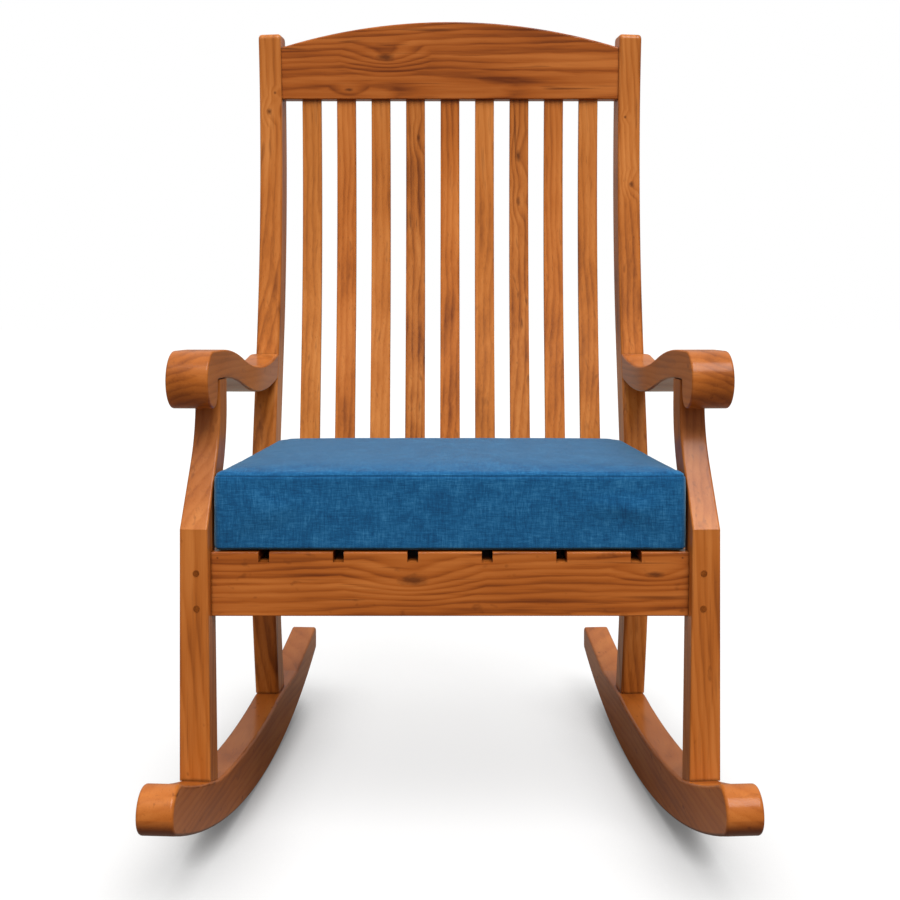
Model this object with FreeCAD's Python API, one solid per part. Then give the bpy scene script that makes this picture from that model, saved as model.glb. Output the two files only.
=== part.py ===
import FreeCAD, Part
import math
import os

# Slat-back rocking chair with scrolled arms and a loose box cushion.
# Millimetres and degrees. +Z up, the front faces -Y, Z = 0 is the floor, the origin is the middle of
# the footprint. A side frame (rocker, two posts, arm) is drawn in a side view: s runs back along the
# frame, z up, and t across its thickness, outwards. It is then toed in about Z, and the left side
# frame is its mirror image. Setbacks are measured back from the front post's front face.

os.makedirs("parts", exist_ok=True)
Vector = FreeCAD.Vector

# Side frames
toe_angle = 3.8
frame_half_spacing = 290.0
front_post_s = -280.5
post_spacing = 412.0

# Rockers
rocker_length = 910.0
rocker_thickness = 42.0
rocker_height = 54.0
rocker_radius = 1250.0
rocker_low_s = 44.0
nose_round = 28.0
nose_under_round = 24.0
nose_round_limit = 0.47
nose_under_limit = 0.4
tip_height = 38.5
tip_round = 8.0
tip_under_round = 8.0
waist_s = -12.0
waist_rise = 17.5
pad_rise = 24.0
pad_lead = 9.0
pad_length = 136.0
rocker_edge_round = 4.0

# Front posts
front_post_width = 38.5
front_post_top_width = 32.0
front_post_depth = 38.0
bend_rise = 30.5
bend_angle = 33.0
upper_setback = 72.0
upper_bend_radius = 139.0
post_edge_round = 2.5

# Back posts
back_post_width = 36.5
back_post_depth = 47.0
back_post_height = 1125.0
back_post_splay = 1.15
leg_bend_height = 253.0
leg_bend_radius = 840.0
leg_rake = 7.0
back_rake = 15.5
back_straight = 150.0
back_sweep_radius = 1650.0
back_post_edge_round = 5.0
post_crown_round = 9.0

# Arms
arm_toe_angle = 2.9
arm_overhang = 1.5
arm_width = 53.0
arm_rear_width = 46.0
arm_rear_round = 10.0
arm_thickness = 37.0
arm_rise = 246.5
roll_radius = 36.0
roll_setback = 41.0
curl_setback = 61.0
slot_round = 3.0
hump_setback = 85.0
trough_setback = 350.0
trough_drop = 32.6
arm_edge_round = 2.5

# Seat rails
seat_height = 374.5
seat_rail_height = 66.0
seat_rail_thickness = 22.0
front_rail_setback = 15.0
rear_rail_setback = 16.0
side_rail_thickness = 24.0
side_rail_inset = 3.0
rail_edge_round = 1.5

# Seat slats
seat_slat_count = 7
seat_slat_width = 78.0
seat_slat_thickness = 12.5
seat_slat_gap = 13.5
seat_slat_side_gap = 1.5
slat_edge_round = 1.5
slat_end_gap = 0.3

# Cleat behind the front rail
cleat_depth = 72.0
cleat_height = 26.0

# Back
crest_thickness = 24.0
crest_setback = 6.0
crest_drop = 106.5
crest_height = 85.5
crest_rise = 42.0
lower_rail_rise = 65.5
lower_rail_height = 46.0
lower_rail_thickness = 26.0
back_slat_count = 9
back_slat_width = 31.0
back_slat_thickness = 12.0
back_slat_setback = 13.0
back_slat_end_gap_low = 35.7
back_slat_end_gap_high = 32.5

# Joints
rail_tenon_length = 21.0
crossing_tenon_wall = 2.2
rail_tenon_thickness = 10.0
rail_tenon_shoulder = 5.0
side_tenon_length = 18.0
side_tenon_thickness = 8.0
side_tenon_inset = 4.5
foot_tenon_length = 30.0
post_tenon_shoulder = 7.0
arm_tenon_length = 20.0
arm_tenon_width = 20.0
arm_tenon_height = 16.0
slat_tenon_length = 16.0
slat_tenon_shoulder = 2.5
joint_clearance = 0.15
mortise_spare = 1.0
shoulder_gap = 0.1

# Pegs and screws
peg_radius = 3.8
peg_length = 34.0
peg_proud = 0.6
peg_clearance = 0.05
peg_spacing = 43.0
peg_drop = 10.5
peg_inset = 14.5
screw_radius = 2.0
screw_length = 32.0
screw_head_radius = 4.2
screw_head_height = 2.6
screw_clearance = 0.1

# Cushion
cushion_setback = 17.0
cushion_back_gap = 8.2
cushion_front_gap = 5.6
cushion_rear_gap = 2.7
cushion_thickness = 98.0
cushion_crown = 11.0
cushion_edge_crown = 3.0
cushion_draw_in = 1.5
cushion_side_swell = 2.0
cushion_cover_thickness = 2.0
cushion_gap = 0.3
cushion_stations = 6

# Worked out from the sizes above
toe = math.radians(toe_angle)
splay = math.radians(back_post_splay)
frame_outer_t = rocker_thickness / 2
rocker_top_radius = rocker_radius - rocker_height
nose_s = -rocker_length / 2
tip_s = rocker_length / 2
front_face_y = front_post_s * math.cos(toe)
pad_height = rocker_height + pad_rise
bend_height = seat_height + bend_rise
arm_top_height = seat_height + arm_rise
lower_rail_top = seat_height + lower_rail_rise
crest_bottom = back_post_height - crest_drop
crest_end_height = crest_bottom + crest_height
crest_crown_height = crest_end_height + crest_rise
seat_rail_top = seat_height - seat_slat_thickness
seat_rail_bottom = seat_rail_top - seat_rail_height
arm_under_height = arm_top_height - arm_thickness
half_wave = (trough_setback - hump_setback) / 2
arm_wave_radius = (half_wave ** 2 + (trough_drop / 2) ** 2) / trough_drop
reach = 3 * rocker_length
same_place = 0.001
same_direction = 0.999


def box(x0, x1, y0, y1, z0, z1):
    """A block between two corners."""
    return Part.makeBox(x1 - x0, y1 - y0, z1 - z0, Vector(x0, y0, z0))


def line(a, b):
    """A straight edge between two side-view points (s, z)."""
    return Part.LineSegment(Vector(0, *a), Vector(0, *b)).toShape()


def arc(a, middle, b):
    """A round edge through three side-view points (s, z)."""
    return Part.Arc(Vector(0, *a), Vector(0, *middle), Vector(0, *b)).toShape()


def prism(edges, t0, t1):
    """A side-view outline given thickness, from t0 to t1."""
    face = Part.Face(Part.Wire(Part.__sortEdges__(edges)))
    solid = face.extrude(Vector(t1 - t0, 0, 0))
    solid.translate(Vector(t0, 0, 0))
    return solid


def ease(solid, radius, picked):
    """Rounds the edges for which picked(edge) is true."""
    return solid.makeFillet(radius, [edge for edge in solid.Edges if picked(edge)])


def lies_at(edge, axis, value):
    """True where the whole edge lies at one value of X, Y or Z."""
    bounds = edge.BoundBox
    spread = (getattr(bounds, axis + "Min") - value, getattr(bounds, axis + "Max") - value)
    return max(abs(spread[0]), abs(spread[1])) < same_place


def lies_on(edge, point):
    """True for an edge across the side view's plane at one point (s, z)."""
    return lies_at(edge, "Y", point[0]) and lies_at(edge, "Z", point[1])


def ease_sides(solid, radius, t0, t1):
    """Rounds the outline edges of a prism, on both its side faces."""
    return ease(solid, radius, lambda edge: lies_at(edge, "X", t0) or lies_at(edge, "X", t1))


def ease_lengths(solid, radius, axis):
    """Rounds the edges of a block that run along X, Y or Z."""

    def runs_along(edge):
        return abs(getattr(edge.tangentAt(edge.FirstParameter), axis)) > same_direction

    return ease(solid, radius, runs_along)


def in_side_frame(shape):
    """Moves a shape from the side view to the right-hand side frame."""
    placed = shape.copy()
    placed.rotate(Vector(0, 0, 0), Vector(0, 0, 1), toe_angle)
    placed.translate(Vector(frame_half_spacing, 0, 0))
    return placed


def splayed(shape):
    """Leans a back post's shape outwards about its outer edge at the rocker's height."""
    leaned = shape.copy()
    leaned.rotate(Vector(frame_outer_t, 0, rocker_height), Vector(0, 1, 0), back_post_splay)
    return leaned


def mirrored(shape):
    """The left-hand twin of a right-hand shape."""
    return shape.mirror(Vector(0, 0, 0), Vector(1, 0, 0))


class SidePath:
    """A side-view line of straight runs and tangent arcs; angles are measured back from upright."""

    def __init__(self, start, degrees):
        self.point = start
        self.angle = math.radians(degrees)
        self.runs = []

    def straight(self, length):
        s, z = self.point
        end = (s + length * math.sin(self.angle), z + length * math.cos(self.angle))
        self.runs.append((self.point, self.angle, end, self.angle, None))
        self.point = end
        return self

    def turn(self, radius, degrees):
        """Bends by some degrees, backwards where positive."""
        side = 1 if degrees > 0 else -1
        s, z = self.point
        centre = (s + side * radius * math.cos(self.angle), z - side * radius * math.sin(self.angle))
        last = self.angle + math.radians(degrees)
        end = (centre[0] - side * radius * math.cos(last), centre[1] + side * radius * math.sin(last))
        self.runs.append((self.point, self.angle, end, last, (centre, side * radius)))
        self.point = end
        self.angle = last
        return self

    def edges(self, back=0.0):
        """The line's edges, moved back square to the line."""
        found = []
        for start, first, end, last, bend in self.runs:
            a = (start[0] + back * math.cos(first), start[1] - back * math.sin(first))
            b = (end[0] + back * math.cos(last), end[1] - back * math.sin(last))
            if bend is None:
                found.append(line(a, b))
            else:
                centre, radius = bend
                half = (first + last) / 2
                away = radius - back
                middle = (centre[0] - away * math.cos(half), centre[1] + away * math.sin(half))
                found.append(arc(a, middle, b))
        return found

    def ends(self, back=0.0):
        """The first and last points of the line moved back."""
        found = []
        for point, angle in ((self.runs[0][0], self.runs[0][1]), (self.point, self.angle)):
            found.append((point[0] + back * math.cos(angle), point[1] - back * math.sin(angle)))
        return found

    def strip(self, front, back, t0, t1):
        """The solid between the line moved back by two distances."""
        caps = [line(a, b) for a, b in zip(self.ends(front), self.ends(back))]
        return prism(self.edges(front) + self.edges(back) + caps, t0, t1)

    def s_at(self, height):
        """Where the line stands at a height."""
        for start, first, end, last, bend in self.runs:
            if height <= end[1]:
                break
        if bend is None:
            return start[0] + (height - start[1]) * math.tan(first)
        centre, radius = bend
        side = 1 if radius > 0 else -1
        return centre[0] - side * math.sqrt(radius ** 2 - (height - centre[1]) ** 2)


# Rockers

def rocker_z(radius, s):
    """Height of one of the rocker's arcs."""
    return rocker_radius - math.sqrt(radius ** 2 - (s - rocker_low_s) ** 2)


def rocker_top(s):
    return rocker_z(rocker_top_radius, s)


def pad_front_s():
    """Where the flat pad under a back post begins."""
    return back_line.s_at(pad_height) - pad_lead


def rocker_body():
    """A bar on a round underside, hollowed between the posts, with a pad for the back post and a thin tail."""
    pad = (pad_front_s(), pad_height)
    tail = (pad[0] + pad_length, pad_height)
    tip_under = (tip_s, rocker_z(rocker_radius, tip_s))
    tip_top = (tip_s, tip_under[1] + tip_height)
    nose_under = (nose_s, rocker_z(rocker_radius, nose_s))
    nose_top = (nose_s, rocker_top(nose_s))
    foot_s = front_post_s + front_post_depth
    foot = (foot_s, rocker_top(foot_s))
    rise_s = (nose_s + foot_s) / 2
    outline = [
        arc(nose_under, (rocker_low_s, 0.0), tip_under),
        arc(nose_top, (rise_s, rocker_top(rise_s)), foot),
        arc(foot, (waist_s, rocker_height + waist_rise), pad),
    ]
    for a, b in ((nose_under, nose_top), (pad, tail), (tail, tip_top), (tip_top, tip_under)):
        outline.append(line(a, b))
    half = rocker_thickness / 2
    solid = prism(outline, -half, half)
    nose_wall = nose_top[1] - nose_under[1]
    rounds = (
        (nose_top, min(nose_round, nose_round_limit * nose_wall)),
        (nose_under, min(nose_under_round, nose_under_limit * nose_wall)),
        (tip_top, tip_round),
        (tip_under, tip_under_round),
    )
    for corner, radius in rounds:
        solid = ease(solid, radius, lambda edge: lies_on(edge, corner))
    return ease_sides(solid, rocker_edge_round, -half, half)


def above_rocker():
    """Everything that stands clear of the rocker's top face, in the side view."""
    middle = Vector(-reach / 2, rocker_low_s, rocker_radius)
    return Part.makeCylinder(rocker_top_radius - shoulder_gap, reach, middle, Vector(1, 0, 0))


def foot_tenon(front, depth, t0, t1, top, extra=0.0, spare=0.0):
    """The block under a post that sits in the rocker, or with extra room its mortise."""
    inset = post_tenon_shoulder - extra
    low = top - foot_tenon_length - spare
    return box(t0 + inset, t1 - inset, front + inset, front + depth - inset, low, top + post_tenon_shoulder)


# Front posts

def front_post_inner_t(height):
    """The inner face of a front post, whose width tapers towards the arm."""
    foot = rocker_top(front_post_s)
    share = (height - foot) / (arm_under_height - foot)
    return frame_outer_t - front_post_width - share * (front_post_top_width - front_post_width)


def inside_front_posts(gap):
    """Everything between the front posts' inner faces, in the chair's frame."""
    corners = [Vector(front_post_inner_t(z) - gap, -reach, z) for z in (-reach, reach)]
    corners += [Vector(-reach, -reach, z) for z in (reach, -reach)]
    side = in_side_frame(Part.Face(Part.makePolygon(corners + corners[:1])).extrude(Vector(0, 2 * reach, 0)))
    return side.common(mirrored(side))


def inner_x_front(y, height):
    """X of the right front post's inner plane at a place."""
    return frame_half_spacing + front_post_inner_t(height) / math.cos(toe) - y * math.tan(toe)


def swept_face(start, radius):
    """One face of a front post above its bend: a slope, then an arc back to upright."""
    bend = math.radians(bend_angle)
    slope = (upper_setback - radius * (1 - math.cos(bend))) / math.sin(bend)
    return SidePath(start, bend_angle).straight(slope).turn(radius, -bend_angle).straight(arm_rise)


def arm_under_at(setback):
    """Height of the arm's underside on its hump."""
    past_hump = max(0.0, setback - hump_setback)
    return arm_under_height - arm_wave_radius + math.sqrt(arm_wave_radius ** 2 - past_hump ** 2)


def front_post_shoulder():
    return arm_under_at(upper_setback + front_post_depth) - shoulder_gap


def front_post_top_tenon(extra=0.0, spare=0.0):
    """The block on a front post that sits in the arm, or with extra room its mortise."""
    inset = post_tenon_shoulder - extra
    front = front_post_s + upper_setback
    inner = frame_outer_t - front_post_top_width
    shoulder = front_post_shoulder()
    top = shoulder + arm_tenon_length + spare
    back = front + front_post_depth - inset
    return box(inner + inset, frame_outer_t - inset, front + inset, back, shoulder - post_tenon_shoulder, top)


def front_foot_top():
    """Height of the rocker under the middle of a front post."""
    return rocker_top(front_post_s + front_post_depth / 2)


def front_post_body():
    """Dog-leg post with a tapered inner face, seated on the rocker and square under the arm."""
    back_s = front_post_s + front_post_depth
    mitre = front_post_depth * math.tan(math.radians(bend_angle) / 2)
    front = swept_face((front_post_s, bend_height), upper_bend_radius)
    back = swept_face((back_s, bend_height - mitre), upper_bend_radius + front_post_depth)
    outline = front.edges() + back.edges()
    outline += [line((front_post_s, 0), front.ends()[0]), line((back_s, 0), back.ends()[0])]
    outline += [line((front_post_s, 0), (back_s, 0)), line(front.ends()[1], back.ends()[1])]
    solid = prism(outline, -reach, frame_outer_t)
    corners = [Vector(front_post_inner_t(z), -reach, z) for z in (-reach, reach)]
    corners += [Vector(-2 * reach, -reach, z) for z in (reach, -reach)]
    inner_side = Part.Face(Part.makePolygon(corners + corners[:1])).extrude(Vector(0, 2 * reach, 0))
    solid = solid.cut(inner_side)

    def on_side(edge):
        points = edge.discretize(3)
        inner = all(abs(point.x - front_post_inner_t(point.z)) < 0.001 for point in points)
        return inner or lies_at(edge, "X", frame_outer_t)

    solid = ease(solid, post_edge_round, on_side)
    solid = solid.cut(box(-reach, reach, -reach, reach, front_post_shoulder(), reach))
    solid = solid.common(above_rocker())
    t0 = frame_outer_t - front_post_width
    solid = solid.fuse(foot_tenon(front_post_s, front_post_depth, t0, frame_outer_t, front_foot_top()))
    return solid.fuse(front_post_top_tenon()).removeSplitter()


# Back posts

def back_post_line():
    """The front face of a back post, from the floor to its top."""
    rake = math.radians(leg_rake)
    low_z = leg_bend_height - leg_bend_radius * math.sin(rake)
    low_s = front_post_s + post_spacing + leg_bend_radius * (1 - math.cos(rake))
    path = SidePath((low_s + low_z * math.tan(rake), 0.0), -leg_rake)
    path.straight(low_z / math.cos(rake)).turn(leg_bend_radius, leg_rake + back_rake).straight(back_straight)
    rise = back_post_height - path.point[1]
    top_angle = math.degrees(math.asin(math.sin(path.angle) - rise / back_sweep_radius))
    return path.turn(back_sweep_radius, top_angle - back_rake)


back_line = back_post_line()


def back_post_inner_t(height):
    """The inner face of a back post, which leans outwards."""
    return frame_outer_t - back_post_width / math.cos(splay) + (height - rocker_height) * math.tan(splay)


def inside_back_posts(gap):
    """Everything between the back posts' inner faces, in the chair's frame."""
    block = box(-reach, frame_outer_t - back_post_width - gap, -reach, reach, -reach, reach)
    side = in_side_frame(splayed(block))
    return side.common(mirrored(side))


def inner_x_back(y, height):
    """X of the right back post's inner plane at a place."""
    return frame_half_spacing + back_post_inner_t(height) / math.cos(toe) - y * math.tan(toe)


def back_front_y(height):
    """Y of a back post's front face, at its inner edge."""
    return back_line.s_at(height) * math.cos(toe) + back_post_inner_t(height) * math.sin(toe)


def back_post_body():
    """S-curved post with a rounded top, seated on the rocker."""
    t0, t1 = frame_outer_t - back_post_width, frame_outer_t
    solid = back_line.strip(0.0, back_post_depth, t0, t1)
    for back in (0.0, back_post_depth):
        end = back_line.ends(back)[1]
        solid = ease(solid, post_crown_round, lambda edge: lies_on(edge, end))
    solid = splayed(ease_sides(solid, back_post_edge_round, t0, t1))
    solid = solid.common(box(-reach, reach, -reach, reach, pad_height + shoulder_gap, reach))
    foot = foot_tenon(back_line.s_at(pad_height), back_post_depth, t0, t1, pad_height)
    return solid.fuse(foot).removeSplitter()


def behind_back_post():
    """Everything behind a back post's front face, in the side view."""
    return splayed(back_line.strip(-shoulder_gap, arm_width + back_post_depth, -arm_width, 2 * arm_width))


# Arms

arm_inner_x = inner_x_front(front_face_y, arm_under_height) - arm_overhang


def in_arm_place(shape):
    """Moves a shape from the arm's own side view, with s = 0 at the front post, to the right arm."""
    placed = shape.copy()
    placed.rotate(Vector(0, 0, 0), Vector(0, 0, 1), arm_toe_angle)
    placed.translate(Vector(arm_inner_x, front_face_y, 0))
    return placed

def arm_wave(drop):
    """Ends and edges of the arm's top line, or its underside when dropped: hump, trough, rise."""
    level = arm_top_height - drop
    swing = math.asin(half_wave / arm_wave_radius)
    hump = (hump_setback, level)
    on_hump = (
        hump_setback + arm_wave_radius * math.sin(swing / 2),
        level - arm_wave_radius * (1 - math.cos(swing / 2)),
    )
    inflection = (hump_setback + half_wave, level - trough_drop / 2)
    low = (trough_setback, level - trough_drop)
    risen = (trough_setback + half_wave, inflection[1])
    end = (risen[0] + back_post_depth, risen[1] + back_post_depth * math.tan(swing))
    return hump, end, [arc(hump, on_hump, inflection), arc(inflection, low, risen), line(risen, end)]


def arm_outer_t(s):
    """The arm's outer edge in plan, which narrows towards the back post."""
    return arm_width + (arm_rear_width - arm_width) * s / post_spacing


def arm_side_profile():
    """The arm's side view: a roll that hooks down in front of the post, then the wave."""
    roll_z = arm_top_height - roll_radius
    roll_top = (roll_setback, arm_top_height)
    roll_low = (roll_setback, roll_z - roll_radius)
    curl_round = curl_setback - roll_setback
    lean = curl_round * math.sqrt(0.5)
    curl_side = (curl_setback, roll_low[1] + curl_round)
    slot_top = (curl_setback, arm_under_height)
    top_hump, top_end, top_edges = arm_wave(0.0)
    low_hump, low_end, low_edges = arm_wave(arm_thickness)
    outline = [
        arc(roll_top, (roll_setback - roll_radius, roll_z), roll_low),
        arc(roll_low, (roll_setback + lean, curl_side[1] - lean), curl_side),
        line(curl_side, slot_top),
        line(slot_top, low_hump),
        line(top_end, low_end),
        line(roll_top, top_hump),
    ]
    solid = prism(outline + top_edges + low_edges, 0.0, 2 * arm_width)
    return ease(solid, slot_round, lambda edge: lies_on(edge, slot_top))


def arm_body():
    """The side profile cut to its plan and to the back post, with rounded edges."""
    stations = (-arm_width, post_spacing + 2 * arm_width)
    corners = [Vector(0, s, 0) for s in stations] + [Vector(arm_outer_t(s), s, 0) for s in reversed(stations)]
    plan = Part.Face(Part.makePolygon(corners + corners[:1])).extrude(Vector(0, 0, 2 * arm_top_height))
    behind = in_side_frame(behind_arm())
    behind.translate(Vector(-arm_inner_x, -front_face_y, 0))
    behind.rotate(Vector(0, 0, 0), Vector(0, 0, 1), -arm_toe_angle)
    solid = arm_side_profile().common(plan).cut(behind)

    def on_outer(edge):
        return all(abs(point.x - arm_outer_t(point.y)) < same_place for point in edge.discretize(3))

    def rear_corner(edge):
        bounds = edge.BoundBox
        return on_outer(edge) and bounds.YMin > trough_setback and bounds.ZLength > bounds.YLength

    solid = ease(solid, arm_rear_round, rear_corner)

    def side_outline(edge):
        bounds = edge.BoundBox
        at_rear = bounds.YMin > trough_setback and bounds.ZLength > bounds.YLength
        return (lies_at(edge, "X", 0.0) or on_outer(edge)) and not at_rear

    return ease(solid, arm_edge_round, side_outline)


def arm_end_height():
    """Mid-height of the arm where it meets the back post."""
    past_trough = back_line.s_at(arm_under_height) - front_post_s - trough_setback
    rise = arm_wave_radius - math.sqrt(arm_wave_radius ** 2 - past_trough ** 2)
    return arm_top_height - arm_thickness / 2 - trough_drop + rise


def behind_arm():
    """Everything behind the flat part of a back post that the arm meets, in the side view."""
    low, high = arm_end_height() - arm_thickness, arm_end_height() + arm_thickness
    near = [(back_line.s_at(z) - shoulder_gap, z) for z in (low, high)]
    far = [(s + reach, z) for s, z in reversed(near)]
    corners = near + far
    outline = [line(a, b) for a, b in zip(corners, corners[1:] + corners[:1])]
    return splayed(prism(outline, -arm_width, 2 * arm_width))


def arm_tenon(extra=0.0, spare=0.0):
    """The block behind the right arm that sits in the back post, or with extra room its mortise."""
    z = arm_end_height()
    face = back_front_y(z)
    x = inner_x_back(face, z) + back_post_width / 2
    half = arm_tenon_width / 2 + extra
    tall = arm_tenon_height / 2 + extra
    back = face + arm_tenon_length + spare
    return box(x - half, x + half, face - arm_tenon_width / 2, back, z - tall, z + tall)


# Seat frame

rail_middle = (seat_rail_top + seat_rail_bottom) / 2
front_rail_y = front_face_y + front_rail_setback
rear_rail_y = back_front_y(rail_middle) + rear_rail_setback


def rail_tenon(inner_x, length, y, z0, z1, extra=0.0):
    """The block on a cross rail's right end, or with extra room its mortise."""
    half = rail_tenon_thickness / 2 + extra
    inset = rail_tenon_shoulder - extra
    return box(inner_x - rail_tenon_shoulder, inner_x + length, y - half, y + half, z0 + inset, z1 - inset)


def cross_rail(body, inside, tenon):
    """A bar trimmed to the posts' inner faces, with a tenon at each end."""
    return body.common(inside).fuse([tenon, mirrored(tenon)]).removeSplitter()


def front_rail_tenon(extra=0.0, spare=0.0):
    y = front_rail_y + seat_rail_thickness / 2
    room = frame_outer_t - side_tenon_inset - side_tenon_thickness - crossing_tenon_wall
    length = room - front_post_inner_t(rail_middle) + spare
    return rail_tenon(inner_x_front(y, rail_middle), length, y, seat_rail_bottom, seat_rail_top, extra)


def rear_rail_tenon(extra=0.0, spare=0.0):
    y = rear_rail_y + seat_rail_thickness / 2
    length = rail_tenon_length + spare
    return rail_tenon(inner_x_back(y, rail_middle), length, y, seat_rail_bottom, seat_rail_top, extra)


def seat_rail(front_y, top):
    """A bar across the seat frame, longer than the space between the posts."""
    span = 2 * frame_half_spacing
    bar = box(-span, span, front_y, front_y + seat_rail_thickness, seat_rail_bottom, top)
    return ease_lengths(bar, rail_edge_round, "x")


def side_rail_body():
    """The bar between a front and a back post, in the side view."""
    t1 = frame_outer_t - side_rail_inset
    start = front_post_s + front_post_depth + shoulder_gap
    end = front_post_s + post_spacing + back_post_depth
    bar = box(t1 - side_rail_thickness, t1, start, end, seat_rail_bottom, seat_rail_top)
    bar = ease_lengths(bar, rail_edge_round, "y").cut(behind_back_post())
    return bar.fuse(side_rail_tenons()).removeSplitter()


def side_rail_tenons(extra=0.0, spare=0.0):
    """The side rail's two end blocks, or with extra room their mortises."""
    t1 = frame_outer_t - side_tenon_inset + extra
    t0 = t1 - side_tenon_thickness - 2 * extra
    inset = rail_tenon_shoulder - extra
    z0, z1 = seat_rail_bottom + inset, seat_rail_top - inset
    front = front_post_s + front_post_depth
    back = back_line.s_at(rail_middle)
    overlap = rail_tenon_shoulder
    return [
        box(t0, t1, front - side_tenon_length - spare, front + overlap, z0, z1),
        box(t0, t1, back - overlap, back + side_tenon_length + spare, z0, z1),
    ]


# Seat slats and their screws

seat_slat_pitch = seat_slat_width + seat_slat_gap
seat_back_y = rear_rail_y + seat_rail_thickness
seat_slat_front_y = front_rail_y + seat_rail_thickness + slat_end_gap
cleat_front_y = front_rail_y + seat_rail_thickness + shoulder_gap


def slat_gap_notches():
    """The front rail's open notches, one in line with each gap between the seat slats."""
    y0, y1 = front_rail_y - seat_rail_thickness, seat_slat_front_y
    half = seat_slat_gap / 2
    found = []
    for index in range(seat_slat_count - 1):
        x = (index + 1 - seat_slat_count / 2) * seat_slat_pitch
        found.append(box(x - half, x + half, y0, y1, seat_rail_top, seat_height + seat_slat_thickness))
    return found


def cleat_body():
    """The strip behind the front rail that carries the seat slats' front ends."""
    span = 2 * frame_half_spacing
    low = seat_rail_top - cleat_height
    bar = box(-span, span, cleat_front_y, cleat_front_y + cleat_depth, low, seat_rail_top)
    return ease_lengths(bar, rail_edge_round, "x")


def seat_slat_edges(index, y):
    """Left and right edges of a seat slat at some Y; the outer slats follow the posts."""
    middle = (index - (seat_slat_count - 1) / 2) * seat_slat_pitch
    left, right = middle - seat_slat_width / 2, middle + seat_slat_width / 2
    limit = inner_x_front(y, seat_rail_top) - seat_slat_side_gap
    if index == 0:
        left = -limit
    if index == seat_slat_count - 1:
        right = limit
    return left, right


def screw(x, y, extra=0.0):
    """A countersunk screw, or with extra room its hole."""
    neck = seat_height - screw_head_height
    low = seat_height - screw_length - extra
    shank = Part.makeCylinder(screw_radius + extra, neck - low + extra, Vector(x, y, low))
    wide = screw_head_radius + extra
    head = Part.makeCone(screw_radius + extra, wide, screw_head_height, Vector(x, y, neck))
    return shank.fuse(head).removeSplitter()


def screw_places():
    """Where the seat slats are screwed down: slat index, X, Y."""
    places = []
    for index in range(seat_slat_count):
        for y in (cleat_front_y + cleat_depth / 2, rear_rail_y + seat_rail_thickness / 2):
            places.append((index, sum(seat_slat_edges(index, y)) / 2, y))
    return places


def seat_slat(index):
    """A board along the seat with rounded upper edges and two screw holes."""
    corners = [(seat_slat_edges(index, y)[0], y) for y in (seat_slat_front_y, seat_back_y)]
    corners += [(seat_slat_edges(index, y)[1], y) for y in (seat_back_y, seat_slat_front_y)]
    points = [Vector(x, y, seat_rail_top) for x, y in corners]
    board = Part.Face(Part.makePolygon(points + points[:1])).extrude(Vector(0, 0, seat_slat_thickness))
    board = ease(board, slat_edge_round, lambda edge: lies_at(edge, "Z", seat_height))
    holes = [screw(x, y, screw_clearance) for place, x, y in screw_places() if place == index]
    return board.cut(holes)


# Back

back_slat_middle = back_slat_setback + back_slat_thickness / 2
back_slat_shift = back_front_y(crest_bottom) - back_line.s_at(crest_bottom)
lower_rail_middle = lower_rail_top - lower_rail_height / 2
lower_rail_y = back_line.s_at(lower_rail_middle) + back_slat_shift + back_slat_middle
crest_y = back_front_y((crest_bottom + crest_end_height) / 2) + crest_setback


def back_slat_pitch(inner_x, end_gap):
    """Spacing of the slats' middles across the space between the posts."""
    return (2 * inner_x - 2 * end_gap - back_slat_width) / (back_slat_count - 1)


back_slat_pitch_low = back_slat_pitch(inner_x_back(lower_rail_y, lower_rail_top), back_slat_end_gap_low)
back_slat_pitch_high = back_slat_pitch(inner_x_back(crest_y, crest_bottom), back_slat_end_gap_high)


def back_slat_strip(index, inset):
    """A slat's full S-curved strip, thinned all round by an inset, fanned into its place."""
    half = back_slat_width / 2 - inset
    place = index - (back_slat_count - 1) / 2
    fan = back_slat_pitch_high - back_slat_pitch_low
    lean = math.atan2(place * fan, crest_bottom - lower_rail_top)
    back = back_slat_setback + back_slat_thickness - inset
    strip = back_line.strip(back_slat_setback + inset, back, -half, half)
    if inset == 0.0:
        strip = ease_sides(strip, slat_edge_round, -half, half)
    strip.translate(Vector(0, back_slat_shift, 0))
    strip.rotate(Vector(0, 0, lower_rail_top), Vector(0, 1, 0), math.degrees(lean))
    strip.translate(Vector(place * back_slat_pitch_low, 0, 0))
    return strip


def slab(z0, z1):
    """Everything between two heights."""
    return box(-reach, reach, -reach, reach, z0, z1)


def back_slat_ends(index, extra=0.0, spare=0.0):
    """A slat's two tenons, or with extra room their mortises."""
    strip = back_slat_strip(index, slat_tenon_shoulder - extra)
    length = slat_tenon_length + spare
    low = strip.common(slab(lower_rail_top - length, lower_rail_top + slat_tenon_shoulder))
    return [low, strip.common(slab(crest_bottom - slat_tenon_shoulder, crest_bottom + length))]


def back_slat(index):
    """A slat between the rails, on a thinner core that runs through it and ends in its two tenons."""
    between = slab(lower_rail_top + shoulder_gap, crest_bottom - shoulder_gap)
    through = slab(lower_rail_top - slat_tenon_length, crest_bottom + slat_tenon_length)
    core = back_slat_strip(index, slat_tenon_shoulder).common(through)
    return back_slat_strip(index, 0.0).common(between).fuse(core).removeSplitter()


def crest_top(x, end_x):
    """Height of the crest's arched top edge."""
    rise = crest_crown_height - crest_end_height
    radius = (end_x ** 2 + rise ** 2) / (2 * rise)
    return crest_crown_height - radius + math.sqrt(radius ** 2 - x ** 2)


def crest_tenon(extra=0.0, spare=0.0):
    y = crest_y + crest_thickness / 2
    middle = (crest_bottom + crest_end_height) / 2
    length = rail_tenon_length + spare
    return rail_tenon(inner_x_back(y, middle), length, y, crest_bottom, crest_end_height, extra)


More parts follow.
